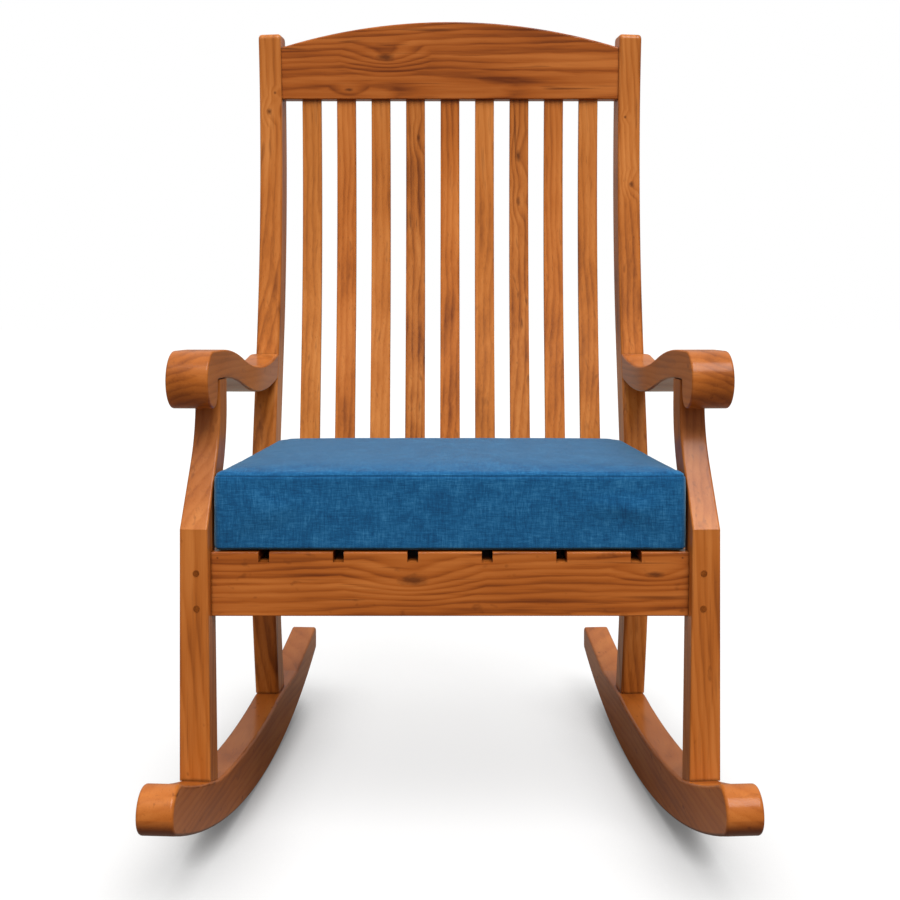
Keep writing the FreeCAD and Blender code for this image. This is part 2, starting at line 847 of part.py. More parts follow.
def lower_rail_tenon(extra=0.0, spare=0.0):
    x = inner_x_back(lower_rail_y, lower_rail_middle)
    low = lower_rail_top - lower_rail_height
    return rail_tenon(x, rail_tenon_length + spare, lower_rail_y, low, lower_rail_top, extra)


def crest_body():
    """An arched board, longer than the space between the posts."""
    end_x = inner_x_back(crest_y, crest_end_height)
    far = end_x + back_post_width
    left, top, right = [Vector(x, crest_y, crest_top(x, end_x)) for x in (-far, 0.0, far)]
    low_left, low_right = Vector(-far, crest_y, crest_bottom), Vector(far, crest_y, crest_bottom)
    edges = [Part.Arc(left, top, right).toShape()]
    for a, b in ((left, low_left), (low_left, low_right), (low_right, right)):
        edges.append(Part.LineSegment(a, b).toShape())
    board = Part.Face(Part.Wire(Part.__sortEdges__(edges))).extrude(Vector(0, crest_thickness, 0))

    def long_edge(edge):
        return edge.BoundBox.XLength > end_x

    return ease(board, post_edge_round, long_edge)


def lower_rail_body():
    """A bar across the foot of the back, longer than the space between the posts."""
    span = 2 * frame_half_spacing
    half = lower_rail_thickness / 2
    low = lower_rail_top - lower_rail_height
    bar = box(-span, span, lower_rail_y - half, lower_rail_y + half, low, lower_rail_top)
    return ease_lengths(bar, rail_edge_round, "x")


# Pegs

def side_pegs(extra=0.0):
    """The two pegs through a front post and its rail tenon, or with extra room their holes."""
    found = []
    for z in (seat_rail_top - peg_drop, seat_rail_top - peg_drop - peg_spacing):
        start = Vector(front_post_inner_t(z) + peg_inset, front_post_s - peg_proud, z)
        found.append(Part.makeCylinder(peg_radius + extra, peg_length + extra, start, Vector(0, 1, 0)))
    return found


# Cushion

cushion_front_y = front_face_y + cushion_setback
cushion_rear_y = lower_rail_y - lower_rail_thickness / 2 - cushion_back_gap
cushion_front_half = inner_x_front(cushion_front_y, seat_height) - cushion_front_gap
cushion_rear_half = inner_x_back(cushion_rear_y, seat_height) - cushion_rear_gap


def cushion_section(share, inset):
    """One outline across the cushion: flat below, swelled sides, crowned top."""
    y = cushion_front_y + inset + share * (cushion_rear_y - cushion_front_y - 2 * inset)
    swing = 4 * share * (1 - share)
    widest = cushion_front_half + share * (cushion_rear_half - cushion_front_half)
    half = widest - cushion_side_swell - cushion_draw_in * swing - inset
    low = seat_height + cushion_gap + inset
    top = seat_height + cushion_gap + cushion_thickness - inset
    crown = cushion_edge_crown + swing * (cushion_crown - cushion_edge_crown)
    middle = (low + top) / 2
    swell = half + cushion_side_swell
    corners = [Vector(-half, y, low), Vector(half, y, low), Vector(half, y, top), Vector(-half, y, top)]
    edges = [
        Part.LineSegment(corners[0], corners[1]).toShape(),
        Part.Arc(corners[1], Vector(swell, y, middle), corners[2]).toShape(),
        Part.Arc(corners[2], Vector(0, y, top + crown), corners[3]).toShape(),
        Part.Arc(corners[3], Vector(-swell, y, middle), corners[0]).toShape(),
    ]
    return Part.Wire(edges)


def cushion_block(inset):
    """The cushion's outside moved in by an inset."""
    shares = [step / cushion_stations for step in range(cushion_stations + 1)]
    return Part.makeLoft([cushion_section(share, inset) for share in shares], True, False)


def right_side():
    """The pieces of the right side frame, with every joint cut."""
    extra, spare = joint_clearance, mortise_spare
    front_t0 = frame_outer_t - front_post_width
    back_t0 = frame_outer_t - back_post_width
    t1 = frame_outer_t
    back_foot_s = back_line.s_at(pad_height)
    feet = [
        foot_tenon(front_post_s, front_post_depth, front_t0, t1, front_foot_top(), extra, spare),
        foot_tenon(back_foot_s, back_post_depth, back_t0, t1, pad_height, extra, spare),
    ]
    side_holes = side_rail_tenons(extra, spare)
    front_post = front_post_body().cut([side_holes[0]] + side_pegs(peg_clearance))
    back_post = in_side_frame(back_post_body().cut(side_holes[1]))
    back_holes = [rear_rail_tenon(extra, spare), lower_rail_tenon(extra, spare)]
    back_holes += [crest_tenon(extra, spare), arm_tenon(extra, spare)]
    arm = in_arm_place(arm_body()).fuse(arm_tenon()).removeSplitter()
    return {
        "rocker": in_side_frame(rocker_body().cut(feet)),
        "front_post": in_side_frame(front_post).cut(front_rail_tenon(extra, spare)),
        "back_post": back_post.cut(back_holes),
        "arm": arm.cut(in_side_frame(front_post_top_tenon(extra, spare))),
        "side_rail": in_side_frame(side_rail_body()),
    }


def pieces():
    """Every piece of the chair by name."""
    found = {}
    for name, shape in right_side().items():
        found["right_" + name] = shape
        found["left_" + name] = mirrored(shape)
    pegs = [in_side_frame(peg) for peg in side_pegs()]
    peg_holes = [in_side_frame(hole) for hole in side_pegs(peg_clearance)]
    peg_holes += [mirrored(hole) for hole in peg_holes]
    screw_holes = [screw(x, y, screw_clearance) for index, x, y in screw_places()]
    between_fronts = inside_front_posts(shoulder_gap)
    between_backs = inside_back_posts(shoulder_gap)
    front_rail = cross_rail(seat_rail(front_rail_y, seat_height), between_fronts, front_rail_tenon())
    rear_rail = cross_rail(seat_rail(rear_rail_y, seat_rail_top), between_backs, rear_rail_tenon())
    found["seat_front_rail"] = front_rail.cut(peg_holes + slat_gap_notches())
    found["seat_front_cleat"] = cleat_body().common(between_fronts).cut(screw_holes)
    found["seat_rear_rail"] = rear_rail.cut(screw_holes)
    found["front_rail_pegs"] = Part.makeCompound(pegs + [mirrored(peg) for peg in pegs])
    found["seat_slat_screws"] = Part.makeCompound([screw(x, y) for index, x, y in screw_places()])
    for index in range(seat_slat_count):
        found["seat_slat_" + str(index + 1)] = seat_slat(index)
    slat_holes = []
    for index in range(back_slat_count):
        found["back_slat_" + str(index + 1)] = back_slat(index)
        slat_holes += back_slat_ends(index, joint_clearance, mortise_spare)
    crest = cross_rail(crest_body(), between_backs, crest_tenon())
    lower_rail = cross_rail(lower_rail_body(), between_backs, lower_rail_tenon())
    found["crest_rail"] = crest.cut(slat_holes)
    found["lower_back_rail"] = lower_rail.cut(slat_holes)
    found["cushion_cover"] = cushion_block(0.0).cut(cushion_block(cushion_cover_thickness))
    found["cushion_foam"] = cushion_block(cushion_cover_thickness + cushion_gap)
    return found


for name, shape in pieces().items():
    shape.exportStep("parts/" + name + ".step")
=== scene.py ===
import math

import bpy
import numpy as np
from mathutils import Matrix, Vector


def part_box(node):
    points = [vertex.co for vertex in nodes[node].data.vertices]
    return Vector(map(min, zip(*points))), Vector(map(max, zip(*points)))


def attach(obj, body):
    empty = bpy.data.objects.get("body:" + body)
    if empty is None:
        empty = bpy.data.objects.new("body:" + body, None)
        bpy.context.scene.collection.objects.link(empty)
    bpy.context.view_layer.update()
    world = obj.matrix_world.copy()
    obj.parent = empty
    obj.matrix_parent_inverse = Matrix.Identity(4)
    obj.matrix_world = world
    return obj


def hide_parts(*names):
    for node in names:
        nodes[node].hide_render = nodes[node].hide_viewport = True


# A slat-back rocking chair in oiled hardwood with a blue box cushion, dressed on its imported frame.
# Metres. +Z up, the chair faces -Y, the floor is Z = 0.

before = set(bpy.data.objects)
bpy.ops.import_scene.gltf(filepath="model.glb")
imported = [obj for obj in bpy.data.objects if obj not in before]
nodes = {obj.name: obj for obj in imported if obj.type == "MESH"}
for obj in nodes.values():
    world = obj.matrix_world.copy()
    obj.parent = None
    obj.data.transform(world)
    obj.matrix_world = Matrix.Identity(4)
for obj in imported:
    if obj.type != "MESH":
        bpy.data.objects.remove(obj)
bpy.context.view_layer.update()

# Camera, with the picture's side and the drop of its frame in pixels
CAMERA_PLACE = (0.0, -1.8365, 0.672)
CAMERA_LENS = 51.2
CAMERA_SENSOR = 36.0
PICTURE_SIDE = 900
FRAME_DROP = 140

# Floor: its colour as seen, as it lights the chair and as it shows in the gloss
FLOOR_HALF = 40.0
FLOOR_COLOUR = (0.90, 0.90, 0.90, 1.0)
FLOOR_BOUNCE = (0.19, 0.13, 0.08, 1.0)
FLOOR_MIRRORED = (0.30, 0.27, 0.23, 1.0)
FLOOR_LIFT = 0.72

# Floor shade: how far it reaches, the range of open air that it is read from, and its darkest
CONTACT_REACH = 0.05
CONTACT_RANGE = (0.40, 0.85)
CONTACT_DARKEST = 0.35
UNDER_REACH = 0.15
UNDER_RANGE = (0.50, 0.95)
UNDER_DARKEST = 0.55

# Light, with angles in degrees
WHITE = (1.0, 1.0, 1.0, 1.0)
SKY_COLOUR = (1.0, 0.985, 0.96, 1.0)
SKY_LOW = 0.20
SKY_HIGH = 1.12
KEY_STRENGTH = 2.75
KEY_SPREAD = 40.0
KEY_TURN = (35.0, 0.0, 12.0)

# Wood: linear colours of late wood, mid wood and early wood, each at its place on the scale of tones
WOOD_DARK = (0.165, 0.039, 0.0060)
WOOD_MID = (0.415, 0.122, 0.0190)
WOOD_LIGHT = (0.590, 0.214, 0.0500)
WOOD_TONES = ((0.0, WOOD_DARK), (0.42, WOOD_MID), (0.95, WOOD_LIGHT))
VEIN_COLOUR = (0.105, 0.022, 0.0030, 1.0)
PORE_COLOUR = (0.085, 0.019, 0.0030, 1.0)
KNOT_COLOUR = (0.085, 0.020, 0.0040, 1.0)
# Oil, grime and painted shade in the joints
JOINT_COLOUR = (0.050, 0.012, 0.0030, 1.0)

# Growth rings: early wood fills a ring up to one share of its width, late wood starts at another
RING_PITCH = 0.0095
EARLY_WOOD = 0.55
LATE_WOOD = 0.80

# Heart line: the depth of its slow bends, its lean sideways as a share of its tilt, the step between boards
BEND_DEPTH = 0.030
CROSS_LEAN = 0.6
BOARD_STEP = 0.37

# Noise in the wood: its squeeze along the board, then how fine it is
BEND = dict(squeeze=0.20, scale=13.0, detail=4.0, roughness=0.55)
STREAK = dict(squeeze=0.045, scale=60.0, detail=3.0, roughness=0.6)
VEIN = dict(squeeze=0.045, scale=120.0, detail=2.0, roughness=0.5, distortion=0.4)
FIBRE = dict(squeeze=0.022, scale=620.0, detail=2.0, roughness=0.6)
PATCH = dict(squeeze=0.3, scale=14.0, detail=2.0, roughness=0.5)
SPECK = dict(squeeze=0.6, scale=75.0, detail=2.0, roughness=0.6)

# The tone of plain wood, the middle of a pattern from 0 to 1, and how much each pattern moves the tone
PLAIN_TONE = 0.44
PATTERN_MIDDLE = 0.5
RING_SHARE = 0.30
STREAK_SHARE = 1.15
PATCH_SHARE = 1.00
FIBRE_SHARE = 0.20

# Marks on the wood: where each starts and is full, and how much of its colour shows
VEIN_RANGE = (0.62, 0.74)
VEIN_SHARE = 0.6
PORE_RANGE = (0.36, 0.26)
PORE_SHARE = 0.3
SPECK_RANGE = (0.66, 0.76)
# Painted shade on the upper front posts: the heights where it starts and is full
UPPER_SHADE_HEIGHTS = (0.39, 0.47)
# Oil, grime and painted shade in the joints, read from open air: its reach, samples, range and share
JOINT_REACH = 0.005
JOINT_SAMPLES = 6
JOINT_RANGE = (0.80, 0.45)
JOINT_SHARE = 0.75
# Painted shade on faces turned down: the height of the normal where it starts and is full
UNDERSIDE_SHADE_RANGE = (0.0, -0.50)

# Knots, measured in their own size: depth, shade, ragged edge and the push on the rings
KNOT_DEPTH = 5.0
KNOT_RANGE = (1.65, 0.75)
KNOT_SHARE = 0.8
KNOT_NOISE = dict(scale=1.6, detail=3.0, roughness=0.6)
KNOT_RAGGED = 0.9
KNOT_PUSH_RANGE = (5.0, 0.2)
KNOT_PUSH = 3.0
NAIL_SIZE = 0.0014

# Oiled surface
WOOD_ROUGH = 0.42
WOOD_ROUGH_SWING = 0.16
WOOD_SPECULAR = 0.03
GRAIN_STRENGTH = 0.16
GRAIN_DEPTH = 0.0006
STREAK_RELIEF = 0.5
COAT_WEIGHT = 0.55
COAT_ROUGH = 0.20
COAT_IOR = 1.4

# Knots and nails on the front faces: place across, height, size and stretch along the grain
CREST_KNOTS = ((-0.106, 1.087, 0.007, 2.2), (-0.166, 1.034, 0.0030, 2.4))
FRONT_RAIL_KNOTS = (
    (-0.045, 0.340, 0.007, 2.6), (0.252, 0.347, 0.004, 3.0),
    (-0.2856, 0.3676, NAIL_SIZE, 1.1), (0.2856, 0.3676, NAIL_SIZE, 1.1),
)
BACK_POST_KNOTS = {
    "left": ((-0.2963, 0.997, 0.0045, 1.2), (-0.287, 1.028, 0.0025, 1.1)),
    "right": ((0.2963, 0.877, 0.0045, 1.2), (0.287, 0.988, 0.0025, 1.1)),
}
BACK_POST_PROUD = 0.010
BACK_SLAT_KNOTS = {
    4: ((-0.052, 0.955, 0.003, 2.4),),
    7: ((0.112, 0.925, 0.004, 2.6), (0.112, 0.850, 0.0035, 2.4)),
}

# Knots on the runners: place outwards, place in depth, height, size and stretch along the grain
ROCKER_KNOTS = ((0.30, -0.34, 0.120, 0.0025, 1.6), (0.29, -0.15, 0.055, 0.0025, 1.8))

# Each back slat's own cut, left to right: tone, warmth and strength of its figure
BACK_SLAT_CUTS = (
    (1.16, -0.08, 0.60), (1.08, 0.05, 0.70), (1.12, -0.02, 0.60), (1.02, 0.00, 1.10), (1.13, 0.05, 0.75),
    (1.18, -0.04, 0.60), (1.06, 0.00, 1.10), (1.13, 0.02, 0.70), (1.13, -0.03, 0.65),
)

# The slats' heart lines, and how tone and warmth change from one board to the next
BACK_SLAT_HEART = (0.03, 0.08)
SEAT_SLAT_HEART = (0.05, 0.07)
SEAT_SLATS = 7
SEAT_TONE_SWING = 0.08
SEAT_TONE_STEP = 1.9
WARMTH_SWING = 0.03
WARMTH_STEP = 1.3
HEART_STEP = 0.01

# A board's length turned to Z
TURNS = {
    "x": (0.0, math.pi / 2, 0.0),
    "y": (-math.pi / 2, 0.0, 0.0),
    "z": (0.0, 0.0, 0.0),
}

# Pegs and screws
PEG_TONES = ((0.25, (0.090, 0.022, 0.0030)), (0.55, (0.200, 0.052, 0.0070)), (0.8, (0.30, 0.085, 0.013)))
PEG_PORES = dict(scale=900.0, detail=2.0, roughness=0.6)
PEG_PORE_SHARE = 0.6
PEG_CLOUD = dict(scale=120.0, detail=2.0, roughness=0.5)
PEG_CLOUD_SHARE = 0.5
PEG_ROUGH = 0.40
PEG_SPECULAR = 0.08
STEEL_TONES = ((0.3, (0.42, 0.41, 0.38)), (0.7, (0.62, 0.61, 0.58)))
STEEL_MOTTLE = dict(scale=1500.0, detail=2.0, roughness=0.5)
STEEL_ROUGH = 0.25
FIXING_ROUGH_SWING = 0.2

# Cushion block: its sizes, the room left for its filling, and its grid
CUSHION_EDGE = 0.009
CUSHION_LOW_EDGE = 0.45
CUSHION_FRONT_HALF = 0.2940
CUSHION_REAR_HALF = 0.2685
CUSHION_REAR_CORNER = 0.030
CUSHION_CROWN = 0.006
CUSHION_START = 0.0005
CUSHION_SWELL_ROOM = 0.0055
CUSHION_LIFT = 0.0002
CUSHION_CELL = 0.0062
EDGE_STEPS = (0.25, 0.5, 0.75, 1.0)
PLACE_DIGITS = 6
TINY = 1e-9

# The cushion's panels, as the block's faces are numbered
TOP, BOTTOM, FRONT, REAR, RIGHT, LEFT = range(6)

# Cushion seams, with grid lines set beside them in seam widths
SEAM_DROP = 0.0045
SEAM_DEPTH = 0.0010
SEAM_WIDTH = 0.0016
SEAM_STEPS = (-1.5, -0.7, 0.0, 0.7, 1.5)
SEAM_CLEAR = 0.3
SIDE_PANEL_SHARE = 0.999

# Cushion filling: pressure, the cover's stiffness, and how far a point may travel
FILL_FRAMES = 20
FILL_PRESSURE = 4.0
COVER_STRETCH = 25.0
COVER_BEND = 2.0
FILL_CAP = 0.003
EDGE_GIVE = 0.3

# Cushion cloth
CLOTH_TONES = ((0.1, (0.0025, 0.054, 0.160)), (0.5, (0.0060, 0.096, 0.250)), (0.95, (0.030, 0.180, 0.385)))
CLOTH_TONE = 0.5
THREAD_SQUEEZE = 0.15
WEFT_SHIFT = (3.1, 1.7, 0.0)
THREAD = dict(scale=620.0, detail=3.0, roughness=0.65)
THREAD_SHARE = 0.9
SLUB = dict(scale=300.0, detail=2.0, roughness=0.5)
SLUB_SHARE = 0.55
CLOUD = dict(scale=45.0, detail=4.0, roughness=0.7)
CLOUD_SHARE = 0.70
FADED = dict(scale=20.0, detail=3.0, roughness=0.6)
FADED_SHARE = 0.55
SEAM_COLOUR = (0.0015, 0.026, 0.075, 1.0)
SEAM_SHADE_RANGE = (0.0018, 0.0006)
SEAM_SHARE = 0.5
WEAVE_PITCH = 0.0016
WEAVE_RELIEF = 0.35
WEAVE_STRENGTH = 0.45
WEAVE_DEPTH = 0.0007
CLOTH_ROUGH = 0.80
CLOTH_ROUGH_SWING = 0.12
CLOTH_SPECULAR = 0.15
BLOOM_WEIGHT = 0.35
BLOOM_ROUGH = 0.42
BLOOM_COLOUR = (0.72, 1.0, 1.0, 1.0)


# Node helpers, for a material or the world

def new_material(name):
    """An empty node material."""
    material = bpy.data.materials.new(name)
    material.use_nodes = True
    material.node_tree.nodes.clear()
    return material


def add(material, kind, inputs=None, **settings):
    """One node, with its settings, and its inputs set to values or linked from other nodes' sockets."""
    node = material.node_tree.nodes.new(kind)
    for key, value in settings.items():
        setattr(node, key, value)
    for key, value in (inputs or {}).items():
        if isinstance(value, bpy.types.NodeSocket):
            material.node_tree.links.new(value, node.inputs[key])
        else:
            node.inputs[key].default_value = value
    return node


def surface(material, inputs):
    """Ends a material with its surface."""
    shader = add(material, "ShaderNodeBsdfPrincipled", inputs)
    add(material, "ShaderNodeOutputMaterial", {0: shader.outputs[0]})


def maths(material, operation, first, second=0.0, third=0.0):
    """A number worked out from one, two or three others."""
    return add(material, "ShaderNodeMath", {0: first, 1: second, 2: third}, operation=operation).outputs[0]


def moved(material, level, pattern, share, middle=PATTERN_MIDDLE):
    """A level moved by a share of a pattern's distance from its middle."""
    swing = maths(material, "SUBTRACT", pattern, middle)
    return maths(material, "MULTIPLY_ADD", swing, share, level)


def blend(material, factor, first, second):
    """A colour between two others."""
    inputs = {0: factor, 6: first, 7: second}
    return add(material, "ShaderNodeMix", inputs, data_type="RGBA").outputs[2]


def marked(material, colour, mark, share, ink):
    """A colour with a share of another one wherever the mark is."""
    return blend(material, maths(material, "MULTIPLY", mark, share), colour, ink)


def ramp(material, factor, stops):
    """A colour read from a row of stops (place, colour)."""
    node = add(material, "ShaderNodeValToRGB", {0: factor})
    elements = node.color_ramp.elements
    elements[0].position = stops[0][0]
    elements[1].position = stops[-1][0]
    for place, _ in stops[1:-1]:
        elements.new(place)
    for element, (_, colour) in zip(elements, stops):
        element.color = (*colour, 1.0)
    return node.outputs[0]


def rescale(material, value, low, high, out_low=0.0, out_high=1.0):
    """A number moved from one range to another, held at the ends."""
    inputs = {0: value, 1: low, 2: high, 3: out_low, 4: out_high}
    return add(material, "ShaderNodeMapRange", inputs).outputs[0]


def mapped(material, place, shift=(0.0, 0.0, 0.0), turn=(0.0, 0.0, 0.0), scale=(1.0, 1.0, 1.0)):
    """A place scaled, then turned, then shifted."""
    return add(material, "ShaderNodeMapping", {0: place, 1: shift, 2: turn, 3: scale}).outputs[0]


def noise(material, place, scale, detail=2.0, roughness=0.5, distortion=0.0):
    """Soft noise between 0 and 1."""
    inputs = {"Vector": place, "Scale": scale, "Detail": detail, "Roughness": roughness}
    inputs["Distortion"] = distortion
    return add(material, "ShaderNodeTexNoise", inputs).outputs[0]


def open_air(material, reach, **settings):
    """How open a point is to the air within a reach: 1 in the open, 0 in a closed corner."""
    return add(material, "ShaderNodeAmbientOcclusion", {"Distance": reach}, **settings).outputs["AO"]


def object_place(material):
    """A point's place on its piece."""
    return add(material, "ShaderNodeTexCoord").outputs["Object"]


def split(material, vector):
    """The three numbers of a vector."""
    return add(material, "ShaderNodeSeparateXYZ", {0: vector}).outputs


def seen_directly(material):
    """1 for what the camera sees straight or through glass, 0 for light that bounces off the pieces."""
    path = add(material, "ShaderNodeLightPath").outputs
    return maths(material, "MAXIMUM", path["Is Camera Ray"], path["Is Transmission Ray"])


def wear(piece, material):
    """Puts one material on a piece."""
    piece.data.materials.clear()
    piece.data.materials.append(material)


# Wood

def turned(point, along):
    """A point in the board's own frame, where its length is Z: X boards turn about Y, Y boards about X."""
    x, y, z = point
    if along == "x":
        return np.array([z, y, -x])
    if along == "y":
        return np.array([x, z, -y])
    return np.array([x, y, z])


def board_place(material, name, place, along, seed, heart):
    """A place in the board's own frame, measured from a heart line beside the board's middle."""
    low, high = (np.array(corner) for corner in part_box(name))
    shift = np.array([heart[0], heart[1], BOARD_STEP * seed]) - turned((low + high) / 2, along)
    return mapped(material, place, tuple(shift), TURNS[along])


def along_grain(material, board, squeeze, across=1.0, **fineness):
    """Noise drawn out along the board."""
    return noise(material, mapped(material, board, scale=(across, 1.0, squeeze)), **fineness)


def heart_distance(material, board, tilt):
    """The distance from a leaning heart line, bent by slow noise.

    Unbent it is the root of (x + tilt z) squared plus (y - cross lean tilt z) squared, so that the
    rings cut the faces as long arches.
    """
    x, y, z = split(material, board)
    lean_x = maths(material, "MULTIPLY_ADD", z, tilt, x)
    lean_y = maths(material, "MULTIPLY_ADD", z, -CROSS_LEAN * tilt, y)
    squares = maths(material, "MULTIPLY_ADD", lean_x, lean_x, maths(material, "MULTIPLY", lean_y, lean_y))
    bend = along_grain(material, board, **BEND)
    return maths(material, "MULTIPLY_ADD", bend, BEND_DEPTH, maths(material, "SQRT", squares))


def knot_marks(material, place, along, knots, radius):
    """Knots push the rings outwards and leave ragged dark spots; a nail leaves the spot alone."""
    shade = 0.0
    for x, y, z, size, stretch in knots:
        reaches = {
            "x": (stretch, KNOT_DEPTH, 1.0),
            "y": (KNOT_DEPTH, stretch, 1.0),
            "z": (1.0, KNOT_DEPTH, stretch),
        }
        scales = tuple(1.0 / (size * reach) for reach in reaches[along])
        shift = tuple(-value * scale for value, scale in zip((x, y, z), scales))
        near = mapped(material, place, shift, scale=scales)
        away = add(material, "ShaderNodeVectorMath", {0: near}, operation="LENGTH").outputs[1]
        if size > NAIL_SIZE:
            push = rescale(material, away, *KNOT_PUSH_RANGE, 0.0, KNOT_PUSH * size)
            radius = maths(material, "ADD", radius, push)
        ragged = maths(material, "MULTIPLY_ADD", noise(material, near, **KNOT_NOISE), KNOT_RAGGED, away)
        shade = maths(material, "MAXIMUM", shade, rescale(material, ragged, *KNOT_RANGE))
    return radius, shade


def growth_rings(material, radius):
    """Rings as a saw of the ring count: pale early wood fills each ring and dark late wood closes it."""
    ring = maths(material, "FRACT", maths(material, "DIVIDE", radius, RING_PITCH))
    early = rescale(material, ring, 0.0, EARLY_WOOD)
    late = rescale(material, ring, LATE_WOOD, 1.0)
    return maths(material, "SUBTRACT", early, late)


def wood_tones(tone, warmth):
    """The wood's scale of tones for one board, lighter by its tone and redder by its warmth."""
    tinted = []
    for level, colour in WOOD_TONES:
        red, green, blue = (tone * value for value in colour)
        tinted.append((level, (red, green * (1.0 - warmth), blue * (1.0 - 2.0 * warmth))))
    return tinted


def dust_and_shade_marks(material, colour, underside_shade):
    """Oil and grime with painted shade where boards meet, and painted shade on a runner's underside."""
    # Painted shade, with oil and grime: wood darkens where a joint closes it off from open air
    dust_and_shade = rescale(material, open_air(material, JOINT_REACH, samples=JOINT_SAMPLES), *JOINT_RANGE)
    colour = marked(material, colour, dust_and_shade, JOINT_SHARE, JOINT_COLOUR)
    # Painted shade: a runner darkens where its faces turn down towards the floor
    if underside_shade:
        facing = add(material, "ShaderNodeNewGeometry").outputs["Normal"]
        painted_underside_shade = rescale(material, split(material, facing)[2], *UNDERSIDE_SHADE_RANGE)
        colour = marked(material, colour, painted_underside_shade, underside_shade, VEIN_COLOUR)
    return colour


def oiled_surface(material, colour, streak, fibre):
    """A thin coat of oil on wood whose streaks and fibres stand up a little."""
    relief = maths(material, "MULTIPLY_ADD", streak, STREAK_RELIEF, fibre)
    bump = add(material, "ShaderNodeBump", {
        "Strength": GRAIN_STRENGTH, "Distance": GRAIN_DEPTH, "Height": relief,
    })
    surface(material, {
        "Base Color": colour, "Normal": bump.outputs[0],
        "Roughness": maths(material, "MULTIPLY_ADD", fibre, WOOD_ROUGH_SWING, WOOD_ROUGH),
        "Coat Weight": COAT_WEIGHT, "Coat Roughness": COAT_ROUGH, "Coat IOR": COAT_IOR,
        "Specular IOR Level": WOOD_SPECULAR,
    })


def hardwood(name, along, seed, tone=1.0, warmth=0.0, heart=(0.05, 0.09), tilt=0.05, figure=1.0,
             across=1.0, specks=0.0, upper_shade=0.0, underside_shade=0.0, knots=()):
    """Oiled hardwood: growth rings about a heart line beside the board, streaks, pores and knots."""
    material = new_material(name)
    place = object_place(material)
    board = board_place(material, name, place, along, seed, heart)
    radius, knot_shade = knot_marks(material, place, along, knots, heart_distance(material, board, tilt))
    rings = growth_rings(material, radius)
    streak = along_grain(material, board, across=across, **STREAK)
    vein = along_grain(material, board, across=across, **VEIN)
    fibre = along_grain(material, board, **FIBRE)
    patch = along_grain(material, board, **PATCH)

    # Tone of the bare wood
    level = moved(material, PLAIN_TONE, rings, RING_SHARE * figure)
    level = moved(material, level, streak, STREAK_SHARE * figure)
    level = moved(material, level, patch, PATCH_SHARE)
    level = moved(material, level, fibre, FIBRE_SHARE)
    colour = ramp(material, level, wood_tones(tone, warmth))

    # Marks on it
    veins = rescale(material, vein, *VEIN_RANGE)
    colour = marked(material, colour, veins, VEIN_SHARE * figure, VEIN_COLOUR)
    pores = rescale(material, fibre, *PORE_RANGE)
    colour = marked(material, colour, pores, PORE_SHARE, PORE_COLOUR)
    # Painted shade: the front post darkens above its bend, where its slope catches the key
    if upper_shade:
        darker = rescale(material, split(material, place)[2], *UPPER_SHADE_HEIGHTS)
        colour = marked(material, colour, darker, upper_shade, (*WOOD_DARK, 1.0))
    if specks:
        spots = rescale(material, along_grain(material, board, **SPECK), *SPECK_RANGE)
        colour = marked(material, colour, spots, specks, VEIN_COLOUR)
    if knots:
        colour = marked(material, colour, knot_shade, KNOT_SHARE, KNOT_COLOUR)
    oiled_surface(material, dust_and_shade_marks(material, colour, underside_shade), streak, fibre)
    return material


def end_grain_peg():
    """A dowel's dark end grain: fine pores under a soft cloud."""
    material = new_material("front_rail_pegs")
    place = object_place(material)
    pores = noise(material, place, **PEG_PORES)
    cloud = maths(material, "MULTIPLY", noise(material, place, **PEG_CLOUD), PEG_CLOUD_SHARE)
    level = maths(material, "MULTIPLY_ADD", pores, PEG_PORE_SHARE, cloud)
    surface(material, {
        "Base Color": ramp(material, level, PEG_TONES),
        "Roughness": maths(material, "MULTIPLY_ADD", pores, FIXING_ROUGH_SWING, PEG_ROUGH),
        "Specular IOR Level": PEG_SPECULAR,
    })
    return material


def screw_steel():
    """Zinc-plated steel with a fine mottle."""
    material = new_material("seat_slat_screws")
    mottle = noise(material, object_place(material), **STEEL_MOTTLE)
    surface(material, {
        "Base Color": ramp(material, mottle, STEEL_TONES),
        "Roughness": maths(material, "MULTIPLY_ADD", mottle, FIXING_ROUGH_SWING, STEEL_ROUGH),
        "Metallic": 1.0,
    })
    return material


def on_face(depth, knots):
    """Knots set on a face at one depth."""
    return [(x, depth, z, size, stretch) for x, z, size, stretch in knots]


def rail_cuts(crest_face):
    """The cuts of the boards that run across the chair."""
    rail_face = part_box("seat_front_rail")[0][1]
    return {
        "crest_rail": dict(along="x", tone=0.90, warmth=0.14, tilt=0.05, heart=(0.03, 0.06), figure=1.25,
                           knots=on_face(crest_face, CREST_KNOTS)),
        "lower_back_rail": dict(along="x", tone=0.95),
        "seat_front_rail": dict(along="x", tone=0.88, warmth=0.13, tilt=0.03, heart=(0.035, 0.06),
                                figure=1.3, specks=0.4, knots=on_face(rail_face, FRONT_RAIL_KNOTS)),
        "seat_rear_rail": dict(along="x", tone=0.95),
        "seat_front_cleat": dict(along="x", tone=0.9),
    }


